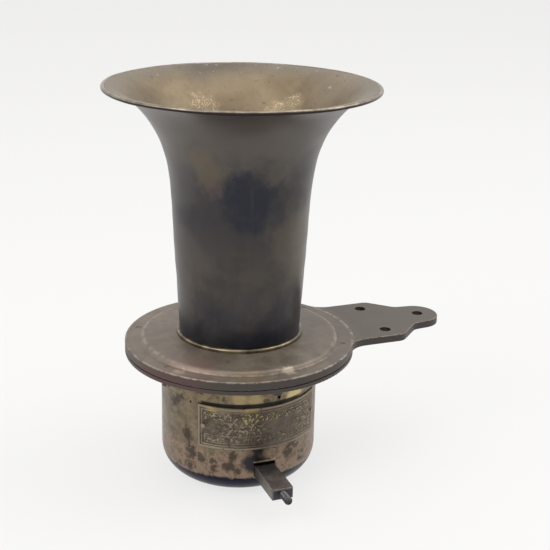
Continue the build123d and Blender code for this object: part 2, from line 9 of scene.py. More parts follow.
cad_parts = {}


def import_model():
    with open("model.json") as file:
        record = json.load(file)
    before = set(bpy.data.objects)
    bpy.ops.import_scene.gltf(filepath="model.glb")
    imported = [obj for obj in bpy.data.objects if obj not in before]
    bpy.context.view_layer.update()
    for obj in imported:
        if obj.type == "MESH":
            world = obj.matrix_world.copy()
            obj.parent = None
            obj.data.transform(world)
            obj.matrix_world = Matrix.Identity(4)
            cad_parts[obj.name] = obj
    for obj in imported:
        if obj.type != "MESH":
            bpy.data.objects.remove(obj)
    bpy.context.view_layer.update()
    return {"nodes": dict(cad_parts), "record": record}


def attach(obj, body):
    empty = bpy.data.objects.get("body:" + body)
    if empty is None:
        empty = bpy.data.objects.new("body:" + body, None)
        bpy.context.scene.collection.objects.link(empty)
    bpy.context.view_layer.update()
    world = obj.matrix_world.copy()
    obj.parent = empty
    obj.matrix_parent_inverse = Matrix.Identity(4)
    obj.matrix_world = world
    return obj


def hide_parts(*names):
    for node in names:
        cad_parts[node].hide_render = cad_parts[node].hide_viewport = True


MM = 0.001
CIRCLE = 6.28                            # one turn in radians, rounded, for the seeded waves
SHARP_EDGE = 35.0                        # degrees; flatter edges are shaded smooth
SPOT_FADE = (1.15, 0.45)                 # a spot starts and is full at these shares of its size

# ------------------------------------------------------------------ sizes, in millimetres
BELL_OUTSIDE = (
    (31.3, 77.4), (32.0, 90.0), (32.8, 105.0), (33.7, 120.0), (34.5, 135.0), (35.35, 150.0),
    (36.2, 160.5), (37.9, 170.5), (41.0, 180.0), (45.3, 188.0), (50.4, 195.0), (55.3, 199.9),
    (61.0, 203.8), (67.6, 205.8),
)
BELL_T = 1.0
BELL_GRID = (130, 384)                   # points along each side of the sheet, and round it
FLARE_Z = 150.0                          # the flare starts here and is full at the mouth
FLARE_H = 55.0
RIPPLE_R = 45.0                          # typical radius, for the size of the ripples
RIM_R = 68.35
RIM_Z = 206.0
RIM_WIRE_R = 1.08
RIM_GRID = (24, 480)
MOUTH_HIGH_SIDE = math.radians(-109.9)   # the bent mouth stands highest here
MOUTH_LIFT = (0.4, 1.2)                  # its mean rise above the CAD mouth, and its tilt either way
PLATE_R = 60.0
PLATE_TOP = 73.9
LAND_R = 51.0                            # crown of the raised land's edge
LAND_FOOT_R = 52.6
CUP_R = 41.05
SLOT_HALF_WIDTH = 5.8
SLOT_TOP = 20.3
LIP_R = 0.75
LIP_GRID = (40, 16)
NAMEPLATE_AZ = (-140.0, -42.0)
NAMEPLATE_Z = (27.5, 52.0)
NAMEPLATE_T = 0.45
NAMEPLATE_GRID = (440, 150)              # columns and rows of its embossed face
BAR_HALF_WIDTH = 5.45
BAR_Z = (12.0, 18.0)
BAR_FRONT_Y = -67.0
STUD_R = 2.1
STUD_Y = (-66.5, -75.0)
STUD_PITCH = 0.8
THREAD_DEPTH = 0.30
STUD_GRID = (48, 150)

# ------------------------- marks that the photo shows: places in millimetres, linear colours
# each stain is middle, size, raggedness, noise shift, amount, colour
BELL_STAINS_AND_LIGHT_UNDER = (                    # beneath the dark foot and the streaks: stains, a painted dark reflection and a painted highlight
    # painted reflection: dark navy on the front, where the bell mirrors the dim side of the room
    ((-9.0, -34.5, 157.0), 17.0, 0.6, 17.0, 0.78, (0.012, 0.015, 0.028)),
    ((16.0, -30.0, 138.0), 17.0, 0.5, 23.0, 0.55, (0.098, 0.080, 0.062)),
    # painted highlight on the right edge
    ((30.0, -18.0, 165.0), 14.0, 0.5, 25.0, 0.45, (0.098, 0.084, 0.070)),
)
BELL_STAINS_AND_LIGHT_OVER = (                     # on top of them: stains, painted highlights on the right edge and painted reflections on the left
    ((-28.3, -27.0, 173.0), 11.0, 0.5, 3.0, 0.50, (0.135, 0.105, 0.064)),
    ((-24.0, -27.6, 163.0), 6.0, 0.5, 5.0, 0.45, (0.105, 0.072, 0.074)),
    ((5.0, -36.0, 172.0), 9.0, 0.5, 9.0, 0.35, (0.100, 0.088, 0.072)),
    # painted reflection on the left edge
    ((-34.0, -8.0, 125.0), 18.0, 0.5, 11.0, 0.35, (0.095, 0.080, 0.065)),
    # painted highlight on the right edge
    ((32.0, -14.0, 132.0), 27.0, 0.4, 29.0, 0.50, (0.150, 0.124, 0.094)),
    # painted reflection on the left edge, grey-mauve
    ((-35.0, -8.0, 168.0), 18.0, 0.4, 33.0, 0.40, (0.102, 0.093, 0.092)),
    ((-14.0, -29.0, 96.6), 6.5, 0.3, -14.0, 0.45, (0.042, 0.043, 0.050)),
    ((-6.4, -32.2, 108.0), 6.5, 0.3, -6.4, 0.45, (0.042, 0.043, 0.050)),
)
INSIDE_STAINS = (                        # dull back of the rim, paler flare to its right
    ((8.0, 68.0, 206.0), 26.0, 0.3, 40.0, 0.75, (0.105, 0.090, 0.070)),
    ((54.0, 12.0, 200.0), 20.0, 0.4, 44.0, 0.50, (0.250, 0.200, 0.142)),
    ((16.0, 42.0, 190.0), 24.0, 0.4, 47.0, 0.40, (0.240, 0.178, 0.108)),
)
PLATE_STAINS = (                         # plum at the front left, ochre at the front
    ((-42.0, -38.0, 72.0), 18.0, 0.4, 2.0, 0.60, (0.215, 0.130, 0.105)),
    ((-14.0, -53.0, 74.0), 12.0, 0.4, 8.0, 0.35, (0.255, 0.185, 0.105)),
)
PLATE_SCUFFS = (                         # two bright rubbed places on the land's edge
    ((-44.0, -34.5, 75.0), 3.6, 0.6, -44.0, 0.75, (0.420, 0.350, 0.260)),
    ((7.5, -52.0, 75.0), 3.6, 0.6, 7.5, 0.75, (0.420, 0.350, 0.260)),
)
PLUNGER_PAINTED_SHADOW = (                         # painted shadow and dark reflection of the bar, beside and above the slot
    ((-6.5, -40.5, 20.0), 6.5, 0.25, 6.5, 0.93, (0.014, 0.015, 0.023)),
    ((-3.8, -41.0, 28.0), 4.4, 0.25, 4.4, 0.93, (0.014, 0.015, 0.023)),
)
CUP_POLISH = (                           # yellow brass showing under the flange
    ((-13.5, -38.8, 56.2), 4.6, 0.30, -8.9, 0.85, (0.380, 0.290, 0.145)),
    ((-5.5, -40.7, 55.8), 4.4, 0.30, -1.1, 0.85, (0.380, 0.290, 0.145)),
    ((17.0, -37.4, 54.6), 6.8, 0.25, 61.0, 0.90, (0.620, 0.500, 0.255)),
)
# from here each mark is middle and size, and CHIPS are middles only
NAMEPLATE_RUBBED = (                     # relief rubbed to yellow
    ((-8.0, -41.5, 46.5), 5.5), ((4.0, -41.5, 44.0), 5.0), ((9.0, -40.5, 36.0), 5.0),
    ((-26.0, -32.0, 49.0), 3.5),
)
FLARE_RUBBED_AND_GLINTS = (                         # speckled patches inside the bell, rubbed bright, with painted highlights of the lamps
    ((-7.5, 46.0, 190.4), 5.5), ((-1.5, 43.5, 187.0), 6.0),
    ((31.0, 31.5, 187.0), 6.0), ((38.5, 27.5, 191.3), 5.5),
)
CHIPS = (                                # small chips in the patina near the rim
    (-32.4, 49.9, 202.9), (-36.1, 52.2, 204.2), (-28.0, 53.5, 203.2), (-13.3, 62.8, 204.4),
    (3.0, 65.2, 204.8), (8.0, 64.5, 204.7), (34.4, 56.5, 205.1), (38.5, 50.5, 204.4),
    (54.2, 33.8, 204.7), (59.9, 19.2, 204.7), (53.1, 13.6, 200.5),
)
BLOTCHES = (                             # dark tarnish spots on the cup
    ((-33.5, -23.5, 22.5), 3.8), ((-24.5, -32.0, 16.5), 2.6), ((-18.0, -36.5, 18.5), 3.6),
    ((-16.5, -37.5, 24.0), 2.8), ((-35.5, -20.5, 32.5), 3.6), ((-39.0, -12.0, 48.0), 3.0),
    ((13.0, -38.8, 22.5), 4.2), ((-34.5, -22.0, 14.8), 3.2),
)

# ---------------------------------------------------------------------- camera and light
CAMERA_AT = (-0.2071, -0.5731, 0.3253)
CAMERA_PITCH = 0.3423
CAMERA_ROLL = 0.0223
CAMERA_AZIMUTH = math.radians(21.57)
CAMERA_LENS = 81.65
SENSOR_WIDTH = 36.0
LIGHT_TARGET = (0.0, 0.0, 0.10)
SOFTBOXES = (                            # name, azimuth, elevation, distance, size, power
    ("softbox_left", -75.0, 40.0, 1.4, 0.9, 10.5),
    ("softbox_right", 80.0, 45.0, 1.4, 0.9, 8.0),
    ("softbox_top", 10.0, 80.0, 1.3, 1.0, 8.0),
)
ROOM_BRIGHTNESS = (1.0, 0.20)            # behind the horn, and on the camera's side
ROOM_FADE = (-0.2, 0.85)                 # where it changes, as the cosine to the camera's side
FLOOR_GLOW = 0.735
FLOOR_HALF = 6000.0


# ================================================================= node-graph helper
class Graph:
    """Short calls for building one material's nodes."""

    def __init__(self, name):
        self.material = bpy.data.materials.new(name)
        self.material.use_nodes = True
        self.nodes = self.material.node_tree.nodes
        self.links = self.material.node_tree.links
        self.shader = self.nodes["Principled BSDF"]
        coords = self.nodes.new("ShaderNodeTexCoord")
        scale = self.nodes.new("ShaderNodeVectorMath")
        scale.operation = "SCALE"
        scale.inputs["Scale"].default_value = 1000.0
        self.links.new(coords.outputs["Object"], scale.inputs[0])
        self.mm = scale.outputs["Vector"]

    def feed(self, socket, value):
        """Link an output, or set a plain value."""
        if isinstance(value, bpy.types.NodeSocket):
            self.links.new(value, socket)
        elif isinstance(value, tuple) and len(value) == 3 and socket.type == "RGBA":
            socket.default_value = (*value, 1.0)
        else:
            socket.default_value = value

    def math(self, operation, a, b=0.0):
        """One sum of two values or outputs."""
        node = self.nodes.new("ShaderNodeMath")
        node.operation = operation
        self.feed(node.inputs[0], a)
        self.feed(node.inputs[1], b)
        return node.outputs[0]

    def stretch(self, scale):
        """The millimetre coordinates, scaled along each axis."""
        node = self.nodes.new("ShaderNodeMapping")
        self.links.new(self.mm, node.inputs["Vector"])
        node.inputs["Scale"].default_value = scale
        return node.outputs["Vector"]

    def noise(self, size, detail=4.0, roughness=0.55, distortion=0.0, at=None, shift=0.0):
        """Fractal noise, 0 to 1, with blobs about size millimetres across."""
        node = self.nodes.new("ShaderNodeTexNoise")
        node.noise_dimensions = "4D"
        self.links.new(at or self.mm, node.inputs["Vector"])
        node.inputs["W"].default_value = shift
        node.inputs["Scale"].default_value = 1.0 / size
        node.inputs["Detail"].default_value = detail
        node.inputs["Roughness"].default_value = roughness
        node.inputs["Distortion"].default_value = distortion
        return node.outputs["Fac"]

    def cells(self, size):
        """Distance to the nearest of many scattered points, size millimetres apart."""
        node = self.nodes.new("ShaderNodeTexVoronoi")
        self.links.new(self.mm, node.inputs["Vector"])
        node.inputs["Scale"].default_value = 1.0 / size
        node.inputs["Randomness"].default_value = 1.0
        return node.outputs["Distance"]

    def window(self, value, low, high):
        """0 below low, 1 above high, smooth between; low above high turns it round."""
        node = self.nodes.new("ShaderNodeMapRange")
        node.interpolation_type = "SMOOTHSTEP"
        self.feed(node.inputs["Value"], value)
        node.inputs["From Min"].default_value = min(low, high)
        node.inputs["From Max"].default_value = max(low, high)
        node.inputs["To Min"].default_value = 0.0 if low < high else 1.0
        node.inputs["To Max"].default_value = 1.0 if low < high else 0.0
        return node.outputs["Result"]

    def mix(self, amount, a, b):
        """Colour a where amount is 0, b where it is 1."""
        node = self.nodes.new("ShaderNodeMix")
        node.data_type = "RGBA"
        self.feed(node.inputs["Factor"], amount)
        self.feed(node.inputs["A"], a)
        self.feed(node.inputs["B"], b)
        return node.outputs["Result"]

    def across(self, axis):
        """The millimetre coordinate along one axis."""
        split = self.nodes.new("ShaderNodeSeparateXYZ")
        self.links.new(self.mm, split.inputs[0])
        return split.outputs[axis]

    def radius(self):
        """Distance from the horn's axis, in millimetres."""
        x, y = self.across("X"), self.across("Y")
        square = self.math("ADD", self.math("MULTIPLY", x, x), self.math("MULTIPLY", y, y))
        return self.math("SQRT", square)

    def azimuth(self):
        """Angle round the horn's axis, in degrees."""
        turn = self.math("ARCTAN2", self.across("Y"), self.across("X"))
        return self.math("MULTIPLY", turn, 180.0 / math.pi)

    def every(self, first, *others):
        """1 only where every mask is 1."""
        for other in others:
            first = self.math("MULTIPLY", first, other)
        return first

    def spot(self, middle, size, ragged=0.5, shift=0.0):
        """1 inside a soft ragged patch about a point, 0 outside."""
        away = self.nodes.new("ShaderNodeVectorMath")
        away.operation = "DISTANCE"
        self.links.new(self.mm, away.inputs[0])
        away.inputs[1].default_value = middle
        wobble = self.math("SUBTRACT", self.noise(size * 0.7, 5.0, 0.6, shift=shift), 0.5)
        wander = self.math("MULTIPLY", wobble, size * ragged * 4)
        reach = self.math("ADD", away.outputs["Value"], wander)
        return self.window(reach, size * SPOT_FADE[0], size * SPOT_FADE[1])

    def upward(self):
        """Height part of the surface normal, -1 facing down to 1 facing up."""
        coords = self.nodes.new("ShaderNodeTexCoord")
        split = self.nodes.new("ShaderNodeSeparateXYZ")
        self.links.new(coords.outputs["Normal"], split.inputs[0])
        return split.outputs["Z"]

    def blend(self, color, amount, part, other):
        """Lay other over color where part is 1, at most by amount."""
        return self.mix(self.math("MULTIPLY", part, amount), color, other)

    def stain(self, color, stains):
        """Lay each stain of a table over color."""
        for middle, size, ragged, shift, amount, other in stains:
            color = self.blend(color, amount, self.spot(middle, size, ragged, shift), other)
        return color

    def bump(self, height, strength, depth):
        """Chain one more bump, depth in millimetres, onto the shader's normal."""
        node = self.nodes.new("ShaderNodeBump")
        node.inputs["Strength"].default_value = strength
        node.inputs["Distance"].default_value = depth * MM
        self.links.new(height, node.inputs["Height"])
        if self.shader.inputs["Normal"].is_linked:
            before = self.shader.inputs["Normal"].links[0].from_socket
            self.links.new(before, node.inputs["Normal"])
        self.links.new(node.outputs["Normal"], self.shader.inputs["Normal"])

    def finish(self, color, roughness, metallic, specular=0.5):
        """Set the shader and hand back the material."""
        self.feed(self.shader.inputs["Base Color"], color)
        self.feed(self.shader.inputs["Roughness"], roughness)
        self.feed(self.shader.inputs["Metallic"], metallic)
        self.shader.inputs["Specular IOR Level"].default_value = specular
        return self.material


# ========================================================================= materials
def bell_outside():
    """Smoke-dark patina over spun brass: olive and plum stains, navy where it is thickest, with painted
    highlights and reflections on its front and edges.
    """
    g = Graph("bell_outside")
    clouds = g.noise(16.0, 5.0, 0.6, 0.6)
    fine = g.noise(1.1, 3.0, 0.7)
    streaks = g.noise(5.0, 3.0, 0.5, at=g.stretch((1.0, 1.0, 0.10)))
    specks = g.noise(0.8, 3.0, 0.7, shift=13.0)
    ragged = g.math("MULTIPLY", g.math("SUBTRACT", clouds, 0.2), 34.0)
    height = g.math("ADD", g.across("Z"), ragged)
    middle = g.every(g.window(height, 196.0, 166.0), g.window(height, 128.0, 158.0))
    color = g.mix(g.window(clouds, 0.35, 0.65), (0.046, 0.039, 0.035), (0.068, 0.057, 0.048))
    color = g.blend(color, 1.0, g.window(height, 165.0, 200.0), (0.100, 0.087, 0.076))
    color = g.blend(color, 0.55, middle, (0.022, 0.023, 0.030))
    color = g.stain(color, BELL_STAINS_AND_LIGHT_UNDER)
    color = g.blend(color, 0.85, g.window(height, 122.0, 84.0), (0.008, 0.011, 0.024))
    color = g.blend(color, 0.16, g.window(streaks, 0.52, 0.74), (0.085, 0.075, 0.064))
    color = g.stain(color, BELL_STAINS_AND_LIGHT_OVER)
    color = g.blend(color, 0.30, g.window(specks, 0.66, 0.74), (0.15, 0.13, 0.10))
    roughness = g.math("ADD", 0.27, g.math("MULTIPLY", clouds, 0.18))
    g.bump(fine, 0.10, 0.05)
    g.bump(clouds, 0.12, 0.25)
    return g.finish(color, roughness, 0.55)


def bell_inside():
    """Dull olive brass with speckled patches low in the flare, rubbed bright and painted with highlights,
    small pits by the rim, and painted shade down the throat.
    """
    g = Graph("bell_inside")
    radius = g.radius()
    clouds = g.noise(14.0, 5.0, 0.62, 0.4)
    grain = g.noise(1.5, 4.0, 0.75)
    flecks = g.noise(0.9, 3.0, 0.7, 0.6, shift=21.0)
    color = g.mix(g.window(clouds, 0.35, 0.68), (0.160, 0.120, 0.074), (0.215, 0.165, 0.102))
    color = g.blend(color, 0.75, g.window(radius, 53.0, 64.0), (0.200, 0.172, 0.134))
    color = g.stain(color, INSIDE_STAINS)
    for number, (middle, size) in enumerate(FLARE_RUBBED_AND_GLINTS):
        patch = g.spot(middle, size, 0.7, shift=10.0 * number)
        color = g.blend(color, 0.35, patch, (0.31, 0.235, 0.140))
        # painted highlights: bright flecks within each patch
        bright = g.every(patch, g.window(flecks, 0.53, 0.63))
        color = g.blend(color, 0.72, bright, (0.62, 0.51, 0.33))
    color = g.blend(color, 0.60, g.window(grain, 0.60, 0.70), (0.095, 0.076, 0.052))
    chipped = g.every(g.window(radius, 52.0, 64.0), g.window(flecks, 0.64, 0.69))
    color = g.blend(color, 0.80, chipped, (0.52, 0.48, 0.40))
    for number, middle in enumerate(CHIPS):
        tone = (0.42, 0.37, 0.29) if number % 3 else (0.080, 0.060, 0.045)
        color = g.blend(color, 0.60, g.spot(middle, 1.25, 0.9, shift=3.0 * number), tone)
    # painted shade: darker down into the throat
    color = g.mix(g.window(g.across("Z"), 175.0, 120.0), color, (0.070, 0.055, 0.036))
    pitted = g.window(g.noise(7.0, 3.0, shift=27.0), 0.60, 0.48)
    sound = g.math("MAXIMUM", g.window(g.cells(2.6), 0.07, 0.20), pitted)
    color = g.blend((0.060, 0.048, 0.036), 1.0, sound, color)
    g.bump(sound, 0.30, 0.12)
    g.bump(grain, 0.25, 0.08)
    g.bump(clouds, 0.20, 0.30)
    return g.finish(color, g.math("ADD", 0.42, g.math("MULTIPLY", grain, 0.22)), 0.65)


def rim_brass():
    """Rolled rim, rubbed to a thin bright line on top, and painted nearly black beneath as shade."""
    g = Graph("rim_brass")
    patches = g.noise(7.0, 4.0, 0.6)
    color = g.mix(g.window(patches, 0.36, 0.66), (0.150, 0.124, 0.096), (0.290, 0.245, 0.185))
    # painted shade: the underside of the wire nearly black
    color = g.mix(g.window(g.upward(), 0.45, -0.05), color, (0.026, 0.014, 0.018))
    g.bump(g.noise(0.7, 3.0, 0.6), 0.10, 0.05)
    return g.finish(color, g.math("ADD", 0.26, g.math("MULTIPLY", patches, 0.12)), 0.75)


def ferrule_brass():
    """Polished brass collar with a painted highlight at the front left and painted shade beneath."""
    g = Graph("ferrule_brass")
    patches = g.noise(8.0, 4.0, 0.6)
    color = g.mix(g.window(patches, 0.38, 0.64), (0.115, 0.092, 0.062), (0.290, 0.235, 0.150))
    # painted highlight on the collar's front left
    color = g.blend(color, 0.80, g.spot((-15.0, -29.0, 77.0), 8.0, 0.3, 3.0), (0.520, 0.430, 0.270))
    # painted shade: the underside darker
    color = g.mix(g.window(g.upward(), 0.25, -0.30), color, (0.030, 0.024, 0.018))
    g.bump(g.noise(0.8, 3.0, 0.6), 0.15, 0.05)
    return g.finish(color, g.math("ADD", 0.24, g.math("MULTIPLY", patches, 0.14)), 0.85)


def plate_bronze():
    """Cast plate: warm grey-brown skin, rubbed pale on its edges, plum-red at the front left; painted
    light from the left, painted shade on the right and on its steep sides, and painted highlights on the
    land's edge and arm.
    """
    g = Graph("plate_bronze")
    radius, up = g.radius(), g.upward()
    x, y, z = g.across("X"), g.across("Y"), g.across("Z")
    clouds = g.noise(12.0, 5.0, 0.6, 0.5)
    smudge = g.noise(4.0, 5.0, 0.65, 0.3, shift=9.0)
    grain = g.noise(0.8, 4.0, 0.7)
    specks = g.window(g.noise(1.6, 5.0, 0.7, shift=4.0), 0.66, 0.74)

    color = g.mix(g.window(clouds, 0.32, 0.68), (0.130, 0.103, 0.079), (0.218, 0.180, 0.140))
    color = g.blend(color, 0.28, g.window(smudge, 0.54, 0.72), (0.245, 0.205, 0.165))
    color = g.blend(color, 0.40, g.window(smudge, 0.46, 0.34), (0.095, 0.076, 0.060))
    color = g.stain(color, PLATE_STAINS)
    # painted light: the plate lighter towards the left
    color = g.blend(color, 0.30, g.window(x, -12.0, -46.0), (0.270, 0.218, 0.178))
    color = g.stain(color, PLATE_SCUFFS)
    color = g.blend(color, 0.82, g.window(radius, 56.0, 66.0), (0.084, 0.070, 0.058))
    # painted shade: the plate darker towards the right
    color = g.blend(color, 0.50, g.window(x, 10.0, 55.0), (0.108, 0.090, 0.073))

    # painted shade: the steep side faces darker
    side = g.every(g.window(up, 0.75, 0.35), g.window(radius, 55.0, 58.0))
    color = g.blend(color, 0.85, side, (0.050, 0.041, 0.038))
    plum = g.every(side, g.spot((-48.0, -34.0, 71.0), 24.0, 0.4, 6.0))
    color = g.blend(color, 0.70, plum, (0.105, 0.056, 0.050))

    worn = g.window(smudge, 0.40, 0.56)
    front = g.window(y, -20.0, -45.0)
    back = g.math("SUBTRACT", 1.0, front)
    # painted highlight on the land's edge: along its crown at the back and its foot in front, broken up
    # by wear
    crown = g.every(
        g.window(radius, LAND_R - 2.0, LAND_R - 0.8),
        g.window(radius, LAND_R + 0.6, LAND_R), back, worn)
    color = g.blend(color, 0.45, crown, (0.36, 0.31, 0.26))
    foot = g.every(
        g.window(radius, LAND_FOOT_R - 0.7, LAND_FOOT_R - 0.1),
        g.window(radius, LAND_FOOT_R + 0.8, LAND_FOOT_R + 0.3), front, worn)
    color = g.blend(color, 0.40, foot, (0.36, 0.30, 0.24))
    edge = g.every(
        g.window(radius, PLATE_R - 1.3, PLATE_R - 0.7),
        g.window(radius, PLATE_R + 0.8, PLATE_R + 0.3),
        g.window(z, PLATE_TOP - 0.9, PLATE_TOP - 0.3), worn)
    color = g.blend(color, 0.55, edge, (0.38, 0.33, 0.28))
    # pale arm edges: wear specks together with a painted highlight along the fillet
    arm_edge = g.every(
        g.window(up, 0.97, 0.80), g.window(up, 0.10, 0.35),
        g.window(radius, PLATE_R + 1.0, PLATE_R + 4.0), worn)
    color = g.blend(color, 0.60, arm_edge, (0.300, 0.265, 0.225))
    color = g.blend(color, 0.55, specks, (0.055, 0.043, 0.035))
    g.bump(grain, 0.22, 0.06)
    g.bump(smudge, 0.22, 0.20)
    return g.finish(color, g.math("ADD", 0.38, g.math("MULTIPLY", clouds, 0.2)), 0.5)


def cup_brass():
    """Drawn brass under blotchy tarnish: grey-brown, pink-copper low down, yellow by the flange."""
    g = Graph("cup_brass")
    azimuth, z = g.azimuth(), g.across("Z")
    clouds = g.noise(9.0, 5.0, 0.65, 0.8)
    blotch = g.noise(4.2, 5.0, 0.6, 1.0, shift=6.0)
    fine = g.noise(0.9, 4.0, 0.75)
    scales = g.noise(3.4, 4.0, 0.6, 0.8, shift=52.0)
    grime = g.noise(5.2, 2.5, 0.5, 0.3, at=g.stretch((1.0, 1.0, 0.75)), shift=12.0)
    specks = g.noise(1.2, 4.0, 0.7, shift=15.0)

    color = g.mix(g.window(clouds, 0.34, 0.66), (0.094, 0.070, 0.047), (0.205, 0.163, 0.105))
    color = g.blend(color, 0.55, g.window(fine, 0.54, 0.66), (0.300, 0.240, 0.150))
    pink = g.every(g.window(z, 32.0, 24.0), g.window(blotch, 0.44, 0.54))
    color = g.blend(color, 0.82, pink, (0.275, 0.188, 0.138))
    color = g.blend(color, 0.60, g.window(scales, 0.565, 0.585), (0.135, 0.094, 0.064))
    rings = g.every(g.window(scales, 0.535, 0.555), g.window(scales, 0.585, 0.570))
    color = g.blend(color, 0.30, rings, (0.34, 0.255, 0.165))
    top = g.every(g.window(z, 51.0, 54.0), g.window(blotch, 0.44, 0.58))
    color = g.blend(color, 0.60, top, (0.27, 0.205, 0.110))
    color = g.blend(color, 0.75, g.window(grime, 0.60, 0.63), (0.050, 0.036, 0.028))
    for middle, size in BLOTCHES:
        spot = g.spot(middle, size, 0.70, size + middle[0])
        color = g.blend(color, 0.85, spot, (0.046, 0.033, 0.026))
    # painted shadow and reflection of the bar beside the slot
    color = g.stain(color, PLUNGER_PAINTED_SHADOW)
    color = g.blend(color, 0.75, g.window(specks, 0.64, 0.69), (0.050, 0.038, 0.028))
    color = g.stain(color, CUP_POLISH)
    # painted shade: the cup darker under the flange
    color = g.blend(color, 0.80, g.window(z, 57.5, 62.0), (0.050, 0.042, 0.040))

    # painted shadow: a dark line on the cup in the gap above the nameplate's sprung top edge
    gap_shadow = g.every(
        g.window(z, 51.5, 51.9), g.window(z, 53.6, 52.9),
        g.window(azimuth, -139.0, -136.0), g.window(azimuth, -50.0, -66.0))
    color = g.blend(color, 0.96, gap_shadow, (0.004, 0.004, 0.006))
    # painted reflection: the rounded foot mirrors the shadowed floor as a dark navy band, also made more
    # metallic
    low = g.math("ADD", z, g.math("MULTIPLY", blotch, 4.0))
    painted_foot_reflection = g.window(low, 14.2, 12.6)
    color = g.blend(color, 0.97, painted_foot_reflection, (0.007, 0.007, 0.022))
    g.bump(fine, 0.18, 0.05)
    g.bump(blotch, 0.15, 0.15)
    roughness = g.math("ADD", 0.24, g.math("MULTIPLY", blotch, 0.26))
    return g.finish(color, roughness, g.math("ADD", 0.70, g.math("MULTIPLY", painted_foot_reflection, 0.22)))


def nameplate_brass():
    """Embossed brass: brown in the ground, rubbed yellow where the relief stands proud."""
    g = Graph("nameplate_brass")
    clouds = g.noise(6.0, 5.0, 0.65, 0.7)
    fine = g.noise(0.7, 4.0, 0.75)
    dark = g.window(g.noise(2.4, 5.0, 0.65, 0.4, shift=7.0), 0.58, 0.66)
    face_r = CUP_R + NAMEPLATE_T
    proud = g.window(g.radius(), face_r + 0.10, face_r + 0.34)
    color = g.mix(g.window(clouds, 0.35, 0.65), (0.064, 0.050, 0.038), (0.140, 0.110, 0.078))
    # painted light: the right half of the plate lighter
    color = g.blend(color, 0.45, g.window(g.across("X"), -6.0, 12.0), (0.170, 0.138, 0.105))
    color = g.blend(color, 0.90, proud, (0.305, 0.245, 0.172))
    for middle, size in NAMEPLATE_RUBBED:
        rubbed = g.every(g.spot(middle, size, 0.5, shift=size + middle[0]), proud)
        color = g.blend(color, 0.85, rubbed, (0.46, 0.36, 0.15))
    color = g.blend(color, 0.70, dark, (0.040, 0.030, 0.024))
    g.bump(fine, 0.30, 0.08)
    return g.finish(color, g.math("ADD", 0.34, g.math("MULTIPLY", clouds, 0.25)), 0.6)


def oiled_steel(name):
    """Oil-brown steel with fine draw lines."""
    g = Graph(name)
    clouds = g.noise(5.0, 4.0, 0.6)
    lines = g.noise(0.6, 3.0, 0.6, at=g.stretch((1.0, 0.06, 1.0)))
    color = g.mix(g.window(clouds, 0.36, 0.64), (0.078, 0.066, 0.059), (0.140, 0.120, 0.104))
    color = g.blend(color, 0.40, g.window(lines, 0.55, 0.70), (0.17, 0.15, 0.125))
    g.bump(lines, 0.25, 0.05)
    return g.finish(color, g.math("ADD", 0.36, g.math("MULTIPLY", clouds, 0.18)), 0.5)


def bar_steel():
    """Plunger bar: worn to the metal on its top long edges, with a painted highlight there, plum where
    handled, and painted shadow where it enters the cup.
    """
    g = Graph("bar_steel")
    clouds = g.noise(5.0, 4.0, 0.6)
    lines = g.noise(0.6, 3.0, 0.6, at=g.stretch((1.0, 0.06, 1.0)))
    y = g.across("Y")
    color = g.mix(g.window(clouds, 0.36, 0.64), (0.088, 0.074, 0.068), (0.165, 0.135, 0.118))
    color = g.blend(color, 0.35, g.window(lines, 0.55, 0.70), (0.20, 0.17, 0.15))
    # painted shadow of the slot's lip on the bar where it enters the cup
    color = g.blend(color, 0.75, g.window(y, -56.0, -46.0), (0.036, 0.030, 0.036))
    color = g.blend(color, 0.80, g.window(y, BAR_FRONT_Y + 0.5, BAR_FRONT_Y + 0.1), (0.026, 0.026, 0.042))
    # top long edges: worn to the metal, with a painted highlight along them
    side = g.window(g.math("ABSOLUTE", g.across("X")), BAR_HALF_WIDTH - 0.55, BAR_HALF_WIDTH - 0.15)
    top = g.window(g.across("Z"), BAR_Z[1] - 0.40, BAR_Z[1] - 0.10)
    bare_and_highlit = g.every(side, top, g.window(clouds, 0.40, 0.52))
    color = g.blend(color, 0.45, bare_and_highlit, (0.30, 0.27, 0.24))
    g.bump(lines, 0.25, 0.05)
    return g.finish(color, g.math("ADD", 0.36, g.math("MULTIPLY", clouds, 0.18)), 0.5)


def thread_steel():
    """Bare grey steel with dirt in the roots of the thread."""
    g = Graph("thread_steel")
    dirt = g.noise(1.4, 4.0, 0.7)
    color = g.mix(g.window(dirt, 0.40, 0.62), (0.085, 0.083, 0.083), (0.042, 0.038, 0.037))
    g.bump(dirt, 0.2, 0.05)
    return g.finish(color, 0.36, 0.75)


def machined_brass():
    """Oiled gear brass with a fine lathe-turned face."""
    g = Graph("machined_brass")
    clouds = g.noise(6.0, 4.0, 0.6)
    fine = g.noise(0.5, 3.0, 0.7, at=g.stretch((0.15, 1.0, 1.0)))
    color = g.mix(g.window(clouds, 0.35, 0.65), (0.36, 0.27, 0.13), (0.50, 0.39, 0.19))
    g.bump(fine, 0.2, 0.04)
    return g.finish(color, g.math("ADD", 0.26, g.math("MULTIPLY", clouds, 0.16)), 0.9)


def spring_steel():
    """Blued wire with a little rust."""
    g = Graph("spring_steel")
    dirt = g.noise(3.0, 4.0, 0.65)
    color = g.mix(g.window(dirt, 0.35, 0.65), (0.20, 0.20, 0.20), (0.34, 0.34, 0.345))
    return g.finish(color, g.math("ADD", 0.26, g.math("MULTIPLY", dirt, 0.2)), 0.85)


def gasket_fibre():
    """Pressed brown fibre, nearly black with oil."""
    g = Graph("gasket_fibre")
    fibre = g.noise(0.8, 5.0, 0.75)
    color = g.mix(fibre, (0.020, 0.014, 0.010), (0.050, 0.035, 0.024))
    g.bump(fibre, 0.4, 0.10)
    return g.finish(color, 0.85, 0.0)


